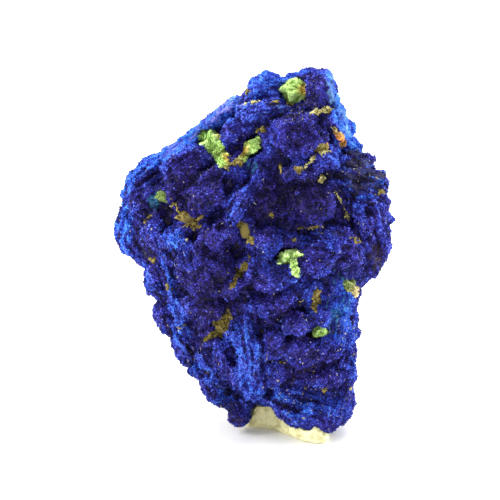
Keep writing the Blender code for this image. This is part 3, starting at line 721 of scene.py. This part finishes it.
def azurite_material(name, tip_gain):
    """Azurite: "glow" with grain picks the shade, "azure" the hue, and "cover_and_highlight", stains
    and painted highlights, lies over both.

    tip_gain is how much brighter a crystal is painted at its tip than at its root: painted light and
    shade.
    """
    material, tree, shader = node_material(name)
    coordinates = tree.nodes.new("ShaderNodeTexCoord").outputs["Object"]
    glow = add_node(tree, "ShaderNodeAttribute", attribute_name="glow").outputs["Fac"]
    azure = add_node(tree, "ShaderNodeAttribute", attribute_name="azure").outputs["Fac"]
    tip = add_node(tree, "ShaderNodeAttribute", attribute_name="tip").outputs["Fac"]
    cover_and_highlight = add_node(tree, "ShaderNodeAttribute", attribute_name="cover_and_highlight")
    coarse = ramp(tree, noise_node(tree, coordinates, 2000.0, 2.0), 0.3, 0.7, -0.26, 0.26)
    fine = ramp(tree, noise_node(tree, coordinates, 5000.0, 2.0), 0.3, 0.7, -0.42, 0.42)
    # Painted light and shade: each crystal lighter at its tip, darker at its root.
    total = added(tree, added(tree, glow, coarse), added(tree, fine, scaled(tree, tip, tip_gain)))
    blues = (shades_node(tree, total, colours) for colours in (VIOLET_BLUES, AZURE_BLUES))
    colour = mixed(tree, azure, *blues)
    colour = mixed(tree, cover_and_highlight.outputs["Alpha"], colour, cover_and_highlight.outputs["Color"])
    tree.links.new(colour, shader.inputs["Base Color"])
    tree.links.new(ramp(tree, coarse, -0.26, 0.26, 0.5, 0.25), shader.inputs["Roughness"])
    shader.inputs["Specular IOR Level"].default_value = 0.08
    shader.inputs["Sheen Weight"].default_value = 0.25
    shader.inputs["Sheen Roughness"].default_value = 0.35
    shader.inputs["Sheen Tint"].default_value = (0.04, 0.09, 1.0, 1)
    return material


def grainy_material(name, colours, scale, roughness, bump):
    """Dark, middle and light grains; "height" picks lighter ones on what stands out and darker ones
    in hollows, painted light and shade, but is random on the malachite needles; "patch" multiplies
    the colour: stains and painted light.
    """
    material, tree, shader = node_material(name)
    coordinates = tree.nodes.new("ShaderNodeTexCoord").outputs["Object"]
    height = add_node(tree, "ShaderNodeAttribute", attribute_name="height").outputs["Fac"]
    broad = ramp(tree, noise_node(tree, coordinates, scale), 0.3, 0.7, -0.30, 0.30)
    fine = ramp(tree, noise_node(tree, coordinates, scale * 4), 0.3, 0.7, -0.30, 0.30)
    shade = added(tree, added(tree, broad, fine), height)
    picked = tree.nodes.new("ShaderNodeValToRGB")
    fill_ramp(picked.color_ramp, list(zip((0.1, 0.5, 0.9), colours)))
    tree.links.new(shade, picked.inputs["Fac"])
    patch = add_node(tree, "ShaderNodeAttribute", attribute_name="patch")
    colour = mixed(tree, 1.0, picked.outputs["Color"], patch.outputs["Color"], "MULTIPLY")
    tree.links.new(colour, shader.inputs["Base Color"])
    shader.inputs["Roughness"].default_value = roughness
    shader.inputs["Specular IOR Level"].default_value = 0.2
    bumps = add_node(tree, "ShaderNodeBump", Strength=bump, Distance=0.0001)
    tree.links.new(noise_node(tree, coordinates, scale * 6), bumps.inputs["Height"])
    tree.links.new(bumps.outputs["Normal"], shader.inputs["Normal"])
    return material


# ---------------------------------------------------------------- crystals


def scattered(obj, count, rng, values):
    """count random places on obj's surface, evenly by area, with the normals and values there."""
    obj.data.calc_loop_triangles()
    corners = np.empty(len(obj.data.loop_triangles) * 3, np.int32)
    obj.data.loop_triangles.foreach_get("vertices", corners)
    corners = corners.reshape(-1, 3)
    points = points_of(obj)
    a, b, c = (points[corners[:, k]] for k in range(3))
    reach = np.cumsum(np.linalg.norm(np.cross(b - a, c - a), axis=1), dtype=float)
    picked = corners[np.searchsorted(reach, rng.random(count) * reach[-1])]
    u, v = rng.random(count), rng.random(count)
    flip = u + v > 1
    u[flip], v[flip] = 1 - u[flip], 1 - v[flip]
    shares = np.column_stack((1 - u - v, u, v))[:, :, None]
    spots, out, there = ((rows[picked] * shares).sum(1) for rows in (points, normals_of(obj), values))
    return spots, unit(out), there


def unit(vectors):
    return vectors / np.maximum(np.linalg.norm(vectors, axis=1, keepdims=True), 1e-9)


# A crystal's triangles, and where its corners lie in its own square of the bake map.
BLADE_FACES = np.array(((0, 1, 4), (1, 5, 4), (2, 3, 5), (3, 4, 5), (1, 2, 5), (3, 0, 4)))
BLADE_MAP = np.array(((0.05, 0.05), (0.95, 0.05), (0.95, 0.95), (0.05, 0.95), (0.3, 0.5), (0.7, 0.5)))
NEEDLE_FACES = np.array(((0, 1, 3), (1, 2, 3), (2, 0, 3)))
NEEDLE_MAP = np.array(((0.05, 0.05), (0.95, 0.05), (0.5, 0.95), (0.5, 0.4)))


def frames(out, lean, spread, rng):
    """Axes that leave the surface along out and lean, give or take spread, and two sideways ones."""
    upright = 1 - 0.7 * np.linalg.norm(lean, axis=1, keepdims=True)
    axis = unit(out * upright + lean + spread * rng.normal(size=out.shape))
    along = unit(np.cross(axis, rng.normal(size=out.shape)))
    return axis, along, np.cross(axis, along)


def crystal_object(name, corners, faces, bake_map, tips):
    """A mesh of many crystals: corners is count x corners x 3, faces are those of one crystal."""
    count, per_crystal = corners.shape[:2]
    all_faces = (np.arange(count)[:, None, None] * per_crystal + faces).reshape(-1, 3)
    obj = to_object(name, corners.reshape(-1, 3), all_faces.tolist())
    across = math.ceil(math.sqrt(count))
    cell = np.column_stack((np.arange(count) % across, np.arange(count) // across))
    places = (cell[:, None, None, :] + bake_map[faces][None]) / across
    layer = obj.data.uv_layers.new(name="OFBake")
    layer.uv.foreach_set("vector", places.astype(np.float32).ravel())
    set_numbers(obj, "tip", np.tile(tips, count))
    return obj


def add_blades(name, spots, axes, sizes, rng):
    """Wedge-shaped crystals; sizes has their half lengths, half widths and heights."""
    axis, along, aside = axes
    length, width, height = (sizes[:, k, None] for k in range(3))
    root = spots - axis * height * 0.35
    top = root + axis * height + aside * width * rng.uniform(-0.3, 0.3, (len(spots), 1))
    corners = np.stack((
        root - along * length - aside * width,
        root + along * length - aside * width,
        root + along * length + aside * width,
        root - along * length + aside * width,
        top - along * length * 0.45,
        top + along * length * 0.45,
    ), axis=1)
    return crystal_object(name, corners, BLADE_FACES, BLADE_MAP, (0, 0, 0, 0, 1, 1))


def add_needles(name, spots, axes, widths, heights):
    """Three-sided pointed crystals."""
    axis, along, aside = axes
    root = spots - axis * heights[:, None] * 0.25
    ring = [along * math.cos(angle) + aside * math.sin(angle) for angle in (0, 2.09, 4.19)]
    corners = [root + side * widths[:, None] for side in ring]
    corners.append(root + axis * heights[:, None])
    return crystal_object(name, np.stack(corners, axis=1), NEEDLE_FACES, NEEDLE_MAP, (0, 0, 0, 1))


def set_azurite_looks(obj, looks):
    """The attributes that azurite_material reads; looks has a row for each vertex."""
    set_numbers(obj, "glow", looks[:, GLOW])
    set_numbers(obj, "azure", looks[:, AZURE])
    set_colours(obj, "cover_and_highlight", looks[:, COVER])


# ---------------------------------------------------------------- the azurite


def build_skin():
    """The azurite's surface, in two halves; gives the whole of it and its points' looks."""
    skin = regrown("azurite_mass", "azurite_skin", SKIN_VOXEL, 4)
    points, normals = points_of(skin), normals_of(skin)
    crease = np.minimum(((points - smoothed(skin, points, MIDDLE_ROUNDS)) * normals).sum(1), 0)
    height = relief(points) + swelling(points) + CREVICE_DEEPENING * crease
    points = stirred(points + normals * height[:, None], **UNEVENNESS)
    low, high = (np.array(corner) / MM for corner in CAD_BOX)
    points = np.clip(points, low - BOX_SLACK, high + BOX_SLACK)
    set_points(skin, points)
    skin.data.shade_smooth()
    depth = ((points - smoothed(skin, points, FINE_ROUNDS)) * normals_of(skin)).sum(1)
    hollow = ((points - smoothed(skin, points, BROAD_ROUNDS)) * normals_of(skin)).sum(1)
    looks = np.column_stack((
        azurite_glow(points, depth, hollow),
        azurite_cover_and_highlight(points, depth),
        lean_of(points),
        crust_share(points, OCHRE_CRUSTS + PALE_CRUSTS + MALACHITE_CRUSTS),
        sum(zone_weight(points, zone) for zone in FLECKED),
    ))
    set_azurite_looks(skin, looks)
    skin.data.attributes.new("tip", "FLOAT", "POINT")
    skin.data.materials.clear()
    skin.data.materials.append(azurite_material("azurite_skin", 0.0))
    for name, side in (("azurite_skin_front", -1), ("azurite_skin_back", 1)):
        half = half_of(skin, name, side)
        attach(half, "root")
        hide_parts("azurite_mass")
    return skin, looks


def half_of(obj, name, side):
    """A copy of obj with only the faces in front of its middle, side -1, or behind it, side 1."""
    half = bpy.data.objects.new(name, obj.data.copy())
    bpy.context.scene.collection.objects.link(half)
    mesh = bmesh.new()
    mesh.from_mesh(half.data)
    away = [f for f in mesh.faces if (f.calc_center_median().y - MIDDLE[1] * MM) * side <= 0]
    bmesh.ops.delete(mesh, geom=away, context="FACES")
    mesh.to_mesh(half.data)
    mesh.free()
    return half


def druse_places(skin, count, rng, looks):
    """Random places on the skin that no crust covers, with the normals and the looks there."""
    spots, out, there = scattered(skin, count, rng, looks)
    bare = there[:, CRUST] < BARE_BELOW
    return spots[bare], out[bare], there[bare]


def build_druse(skin, looks):
    """The crystals that cover the azurite: sheets of fine needles and one of larger blades."""
    # Needles painted lighter at the tips, darker at the roots.
    material = azurite_material("azurite_needles", 0.22)
    for sheet in range(NEEDLE_SHEETS):
        rng = np.random.default_rng(SEED + 1 + sheet)
        spots, out, there = druse_places(skin, NEEDLES_PER_SHEET, rng, looks)
        lean = there[:, LEAN]
        size = rng.uniform(0.6, 1.4, len(spots))
        width, height = NEEDLE_SIZE[0] * size, NEEDLE_SIZE[1] * size
        height *= 1 + np.linalg.norm(lean, axis=1)
        axes = frames(out, lean, 0.45, rng)
        druse = add_needles(f"azurite_needles_{sheet + 1}", spots, axes, width, height)
        finish_druse(druse, there, 4, rng, material)
    rng = np.random.default_rng(SEED + 9)
    spots, out, there = druse_places(skin, BLADES, rng, looks)
    size = rng.uniform(0.5, 1.5, (len(spots), 1)) * BLADE_SIZE
    axes = frames(out, there[:, LEAN], 0.6, rng)
    blades = add_blades("azurite_blades", spots, axes, size, rng)
    finish_druse(blades, there, 6, rng, azurite_material("azurite_blades", 0.2))


def finish_druse(obj, looks, per_crystal, rng, material):
    """Each crystal takes the looks of its place, brighter or darker at random; a few get painted
    glints, brighter blue or near white, and a few are flecks.
    """
    draw = rng.random(len(looks))
    # A few crystals painted brighter: painted glints.
    looks[:, GLOW] += rng.normal(-0.02, 0.18, len(looks)) + 0.4 * (draw > 1 - PAINTED_SPARKLE_SHARE)
    looks[:, COVER_SHARE] *= np.clip(rng.uniform(-0.2, 2.0, len(looks)), 0, 1.0)
    # A very few painted near white: painted glints.
    looks[draw > 1 - PAINTED_GLINT_SHARE, COVER] = (*PAINTED_GLINT, 0.9)
    looks[draw < FLECK_SHARE + FLECKED_SHARE * looks[:, FLECKS], COVER] = (*FLECK, 0.9)
    set_azurite_looks(obj, np.repeat(looks, per_crystal, axis=0))
    obj.data.materials.append(material)
    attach(obj, "root")


# ---------------------------------------------------------------- tufts, clay and putty


# Dark, middle and light grains.
MALACHITE = ((0.12, 0.20, 0.040), (0.30, 0.48, 0.098), (0.49, 0.71, 0.24))
CLAY = ((0.045, 0.034, 0.008), (0.18, 0.143, 0.034), (0.38, 0.31, 0.10))
PALE_CLAY = ((0.13, 0.10, 0.03), (0.42, 0.38, 0.14), (0.74, 0.70, 0.42))
PUTTY = ((0.58, 0.53, 0.26), (0.80, 0.77, 0.44), (0.86, 0.83, 0.52))

# Where malachite and clay are stained, lightened or darkened: what their colour is multiplied by,
# across, up, half length, half width, turn, strength. RUST and CREAM are stains. PALER and PALEST
# lighten the tufts, painted light on those the azurite above shades; DARKER is painted shade on clay
# sunk deep in its pockets; DULLER, and PALER on clay, only darken or lighten.
RUST = (1.5, 0.66, 0.42)
CREAM = (2.1, 1.15, 2.4)
PALER = (1.5, 1.45, 1.7)
PALEST = (2.0, 1.8, 2.6)
DULLER = (0.70, 0.58, 0.78)
DARKER = (0.55, 0.53, 0.42)
MALACHITE_STAINS_AND_PAINTED_LIGHT = [
    # PALER and PALEST: painted light on tufts the azurite shades.
    (PALER, -5.2, 37.6, 3.6, 3.6, 0, 0.75),
    (PALEST, 4.0, 23.2, 3.6, 3.0, 0, 1.0),
    (PALER, 7.7, 14.1, 2.6, 2.0, 0, 1.0),
    (PALER, -0.4, 37.2, 2.2, 1.4, 60, 0.9),
    (DULLER, 11.8, 20.0, 2.4, 2.4, 0, 0.9),
    (DULLER, -11.6, 30.5, 1.8, 1.8, 0, 0.6),
    (RUST, 6.0, 43.9, 0.8, 0.7, 0, 1.0),
    (RUST, -3.4, 35.4, 1.0, 0.5, -50, 0.9),
    (RUST, -4.3, 38.4, 0.7, 0.5, 0, 0.6),
    (RUST, -1.5, 36.3, 0.9, 0.5, 60, 0.9),
    (CREAM, 12.5, 19.0, 1.0, 0.8, 0, 0.9),
]
CLAY_STAINS_AND_PAINTED_SHADE = [
    (RUST, 9.8, 37.7, 1.6, 0.8, -10, 1.0),
    # DARKER: painted shade on clay sunk deep in its pocket.
    (DARKER, -4.7, 14.5, 3.6, 3.6, 0, 0.85),
    (DARKER, -2.0, 21.4, 3.0, 1.8, 57, 1.0),
    (PALER, -8.2, 28.1, 3.6, 2.2, 0, 0.9),
    (PALER, 7.3, 18.2, 2.4, 2.0, 0, 0.7),
]

# How deep a clay filling lies in its pocket, in millimetres, where it isn't the usual.
USUAL_CLAY_DEPTH = 0.2
CLAY_DEPTHS = {
    "rib": 0.35,
    "below_largest": 0.35,
    "back_high": 0.0,
    "back_low": 0.0,
}
CLAY_SPREAD = 0.1  # how far clay is pressed into the sides of its pocket

# How much fuller than in the model a tuft is, in millimetres, where it isn't the usual.
USUAL_TUFT_SWELL = 0.05
TUFT_SWELLS = {
    "left": -0.3,
    "neck": -0.22,
    "middle": -0.05,
    "low": -0.1,
    "right": -0.35,
    "slope": -0.02,
    "back_high": -0.3,
    "back_low": -0.3,
}


def set_grains(obj, height, stains_and_painted_light):
    """The attributes that grainy_material reads; stains_and_painted_light are zones with their own
    colour multiplier, stains as well as painted light and shade.
    """
    points = points_of(obj)
    patch = np.ones((len(points), 4))
    for zone in stains_and_painted_light:
        weight = zone_weight(points, zone)[:, None]
        patch[:, :3] = patch[:, :3] * (1 - weight) + np.array(zone[0]) * weight
    set_numbers(obj, "height", height)
    set_colours(obj, "patch", patch)


def stand_in(obj, node, material):
    """obj takes the place of a CAD node."""
    obj.data.shade_smooth()
    obj.data.materials.clear()
    obj.data.materials.append(material)
    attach(obj, "root")
    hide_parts(node)


def grown_inclusion(node, name, smoothing, swell, uneven, bumps, stains_and_painted_light):
    """A knobbly, uneven copy of a tuft or a clay filling, fuller or thinner by swell."""
    obj = regrown(node, name, INCLUSION_VOXEL, smoothing)
    points, normals = points_of(obj), normals_of(obj)
    rise = swell + uneven * clouds(points, 1.2, bumps[0][2])
    for size, amount, seed in bumps:
        rise += amount * (domes(points, size, seed) - 0.6)
    set_points(obj, stirred(points + normals * rise[:, None], **UNEVENNESS))
    lump = points_of(obj)
    # Painted shade and light: darker in the grooves between the knobs, lighter on the knobs.
    depth = ((lump - smoothed(obj, lump, 12)) * normals_of(obj)).sum(1)
    set_grains(obj, np.clip(0.46 + 5.5 * depth, 0.0, 0.95), stains_and_painted_light)
    return obj


def build_tufts():
    """The tufts; gives places on them all for needles, with the normals there."""
    material = grainy_material("malachite_grains", MALACHITE, 1300.0, 0.8, 0.4)
    names = [name for name in sorted(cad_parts) if name.startswith("malachite")]
    rng = np.random.default_rng(SEED + 20)
    gathered = []
    for index, name in enumerate(names):
        bumps = ((0.65, 0.24, 21 + index), (0.27, 0.2, 31 + index))
        swell = TUFT_SWELLS.get(name.removeprefix("malachite_tuft_"), USUAL_TUFT_SWELL)
        tuft = grown_inclusion(name, name + "_knobs", 3, swell, 0.7, bumps, MALACHITE_STAINS_AND_PAINTED_LIGHT)
        stand_in(tuft, name, material)
        gathered.append(scattered(tuft, TUFT_NEEDLES, rng, points_of(tuft))[:2])
    return gathered


def build_malachite_needles(gathered):
    """Short needles at all the places in gathered."""
    rng = np.random.default_rng(SEED + 21)
    spots, out = (np.vstack(rows) for rows in zip(*gathered))
    size = rng.uniform(0.6, 1.4, len(spots))
    axes = frames(out, np.zeros_like(out), 0.5, rng)
    width, height = MALACHITE_NEEDLE[0] * size, MALACHITE_NEEDLE[1] * size
    needles = add_needles("malachite_needles", spots, axes, width, height)
    set_grains(needles, np.repeat(rng.uniform(0.1, 0.9, len(spots)), 4), MALACHITE_STAINS_AND_PAINTED_LIGHT)
    needles.data.materials.append(bpy.data.materials["malachite_grains"])
    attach(needles, "root")


def press_in(clay, depth):
    """Flattens the outer face of a clay filling and sets it this deep in its pocket."""
    points = points_of(clay)
    side = math.copysign(1, points[:, 1].mean() - MIDDLE[1])
    out = points[:, 1] * side
    level = np.quantile(out, 0.55)
    points[:, 1] = side * (np.where(out > level, level + 0.25 * (out - level), out) - depth)
    set_points(clay, points)


def build_clay():
    """The clay fillings, each flat and sunk in its pocket."""
    material = grainy_material("ochre_clay", CLAY, 1200.0, 0.92, 0.7)
    names = [name for name in sorted(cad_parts) if name.startswith("ochre")]
    for index, name in enumerate(names):
        bumps = ((0.7, 0.14, 41 + index), (0.3, 0.10, 51 + index))
        clay = grown_inclusion(name, name + "_grains", 8, CLAY_SPREAD, 0.4, bumps, CLAY_STAINS_AND_PAINTED_SHADE)
        press_in(clay, CLAY_DEPTHS.get(name.removeprefix("ochre_clay_"), USUAL_CLAY_DEPTH))
        stand_in(clay, name, material)


def patch_of(obj, name, keep):
    """A finer copy of the part of obj that has only the vertices in keep."""
    mesh = bmesh.new()
    mesh.from_mesh(obj.data)
    bmesh.ops.delete(mesh, geom=[v for v in mesh.verts if not keep[v.index]], context="VERTS")
    bmesh.ops.subdivide_edges(mesh, edges=mesh.edges, cuts=1, use_grid_fill=True)
    data = bpy.data.meshes.new(name)
    mesh.to_mesh(data)
    mesh.free()
    patch = bpy.data.objects.new(name, data)
    bpy.context.scene.collection.objects.link(patch)
    return patch


def add_crust(skin, name, zones, thickness, slot, material):
    """A thin uneven crust on the skin, which it rises from in these zones."""
    crust = patch_of(skin, name, crust_share(points_of(skin), zones) > 0)
    points, normals = points_of(crust), normals_of(crust)
    share = crust_share(points, zones)
    bumps = 0.3 * (domes(points, 0.5, 71) - 0.5) + 0.5 * clouds(points, 0.22, 72)
    rise = thickness * np.where(share > 0, share - 0.4 + bumps, -1)
    set_points(crust, points + normals * rise[:, None])
    stains_and_painted_light = MALACHITE_STAINS_AND_PAINTED_LIGHT if slot == "malachite" else CLAY_STAINS_AND_PAINTED_SHADE
    # Painted light and shade: lighter on the crust's bumps, darker between them.
    set_grains(crust, 0.42 + bumps, stains_and_painted_light)
    crust.data.materials.clear()
    crust.data.materials.append(material)
    crust.data.shade_smooth()
    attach(crust, "root")
    return crust


def build_crusts(skin):
    """The thin crusts; gives places on the malachite one for needles."""
    clay = bpy.data.materials["ochre_clay"]
    pale = grainy_material("pale_clay", PALE_CLAY, 1200.0, 0.92, 0.7)
    add_crust(skin, "ochre_crust", OCHRE_CRUSTS, CLAY_CRUST_THICKNESS, "clay", clay)
    add_crust(skin, "pale_crust", PALE_CRUSTS, CLAY_CRUST_THICKNESS, "clay", pale)
    malachite = bpy.data.materials["malachite_grains"]
    zones, thickness = MALACHITE_CRUSTS, MALACHITE_CRUST_THICKNESS
    crust = add_crust(skin, "malachite_crust", zones, thickness, "malachite", malachite)
    rng = np.random.default_rng(SEED + 22)
    share = crust_share(points_of(crust), zones)[:, None]
    spots, out, share = scattered(crust, CRUST_NEEDLES, rng, share)
    thick = share[:, 0] > THICK_CRUST
    return spots[thick], out[thick]


def build_putty():
    """The lump of putty: kneaded into folds, with its sides wrinkled and its underside flat."""
    obj = regrown("mounting_putty", "putty_lump", 0.16, 3)
    points, normals = points_of(obj), normals_of(obj)
    bent = stirred(points * np.array((0.8, 0.8, 1.3)), 1.0, 1.6, 61)
    folds = 0.55 * (domes(bent, 2.7, 64) - 0.75) + 0.10 * (domes(bent, 0.9, 66) - 0.6)
    height = folds + 0.05 * clouds(points, 0.5, 62)
    height *= np.clip(points[:, 2] / 0.35, 0, 1) * (1 - np.clip(normals[:, 2], 0, 1))
    points = points + normals * height[:, None]
    points[:, 2] = np.maximum(points[:, 2], 0)
    set_points(obj, points)
    # Painted shade and light: darker in the creases between the folds, lighter on their tops.
    set_grains(obj, 0.6 + 1.2 * folds, [])
    stand_in(obj, "mounting_putty", grainy_material("putty", PUTTY, 300.0, 0.6, 0.25))


# ---------------------------------------------------------------- studio


def build_floor():
    """The plain pale ground."""
    bpy.ops.mesh.primitive_plane_add(size=3.0, location=(0, 0.4, 0))
    floor = bpy.context.object
    floor.name = "floor"
    material, tree, shader = node_material("floor")
    coordinates = tree.nodes.new("ShaderNodeTexCoord").outputs["Object"]
    shade = ramp(tree, noise_node(tree, coordinates, 40.0), 0.3, 0.7)
    colour = mixed(tree, shade, (0.90, 0.90, 0.87), (0.93, 0.93, 0.90))
    tree.links.new(colour, shader.inputs["Base Color"])
    shader.inputs["Roughness"].default_value = 0.35
    floor.data.materials.append(material)


def add_light(name, location, size, power, colour):
    """A square lamp, in millimetres, that faces the specimen and isn't seen itself."""
    lamp = bpy.data.lights.new(name, "AREA")
    lamp.size = size * MM
    lamp.energy = power
    lamp.color = colour
    obj = bpy.data.objects.new(name, lamp)
    bpy.context.scene.collection.objects.link(obj)
    obj.location = Vector(location) * MM
    obj.visible_camera = False
    aim = Vector(LAMPS_AIM) - Vector(location)
    obj.rotation_euler = aim.to_track_quat("-Z", "Y").to_euler()


def build_tent():
    """A white light tent, darker in front where its opening is."""
    world = bpy.data.worlds.new("tent")
    bpy.context.scene.world = world
    world.use_nodes = True
    tree = world.node_tree
    direction = tree.nodes.new("ShaderNodeTexCoord").outputs["Generated"]
    towards = tree.nodes.new("ShaderNodeVectorMath")
    towards.operation = "DOT_PRODUCT"
    towards.inputs[1].default_value = (0, -1, 0)
    tree.links.new(direction, towards.inputs[0])
    wall = ramp(tree, towards.outputs["Value"], 0.2, 0.85, TENT_WALL, TENT_OPENING)
    seen = tree.nodes.new("ShaderNodeLightPath").outputs["Is Camera Ray"]
    strength = tree.nodes.new("ShaderNodeMix")
    tree.links.new(seen, strength.inputs[0])
    tree.links.new(wall, strength.inputs[2])
    strength.inputs[3].default_value = BACKDROP
    background = tree.nodes["Background"]
    background.inputs["Color"].default_value = (1, 1, 1, 1)
    tree.links.new(strength.outputs[0], background.inputs["Strength"])


def build_studio():
    build_tent()
    for lamp in LAMPS:
        add_light(*lamp)
    bpy.context.scene.view_settings.view_transform = "Standard"


def build_camera():
    """The photograph's view: level to the specimen's front, a little from above."""
    data = bpy.data.cameras.new("camera")
    data.lens = data.sensor_width * VIEW_DISTANCE / VIEW_WIDTH
    data.clip_start = 0.01
    data.clip_end = 20
    camera = bpy.data.objects.new("camera", data)
    bpy.context.scene.collection.objects.link(camera)
    camera.location = (place(*VIEW_CENTRE) - sight() * VIEW_DISTANCE) * MM
    camera.rotation_euler = sight().to_track_quat("-Z", "Y").to_euler()
    bpy.context.scene.camera = camera


def main():
    build_camera()
    build_studio()
    build_floor()
    skin, looks = build_skin()
    build_druse(skin, looks)
    gathered = build_tufts()
    build_clay()
    gathered.append(build_crusts(skin))
    build_malachite_needles(gathered)
    bpy.data.objects.remove(skin)
    build_putty()


main()
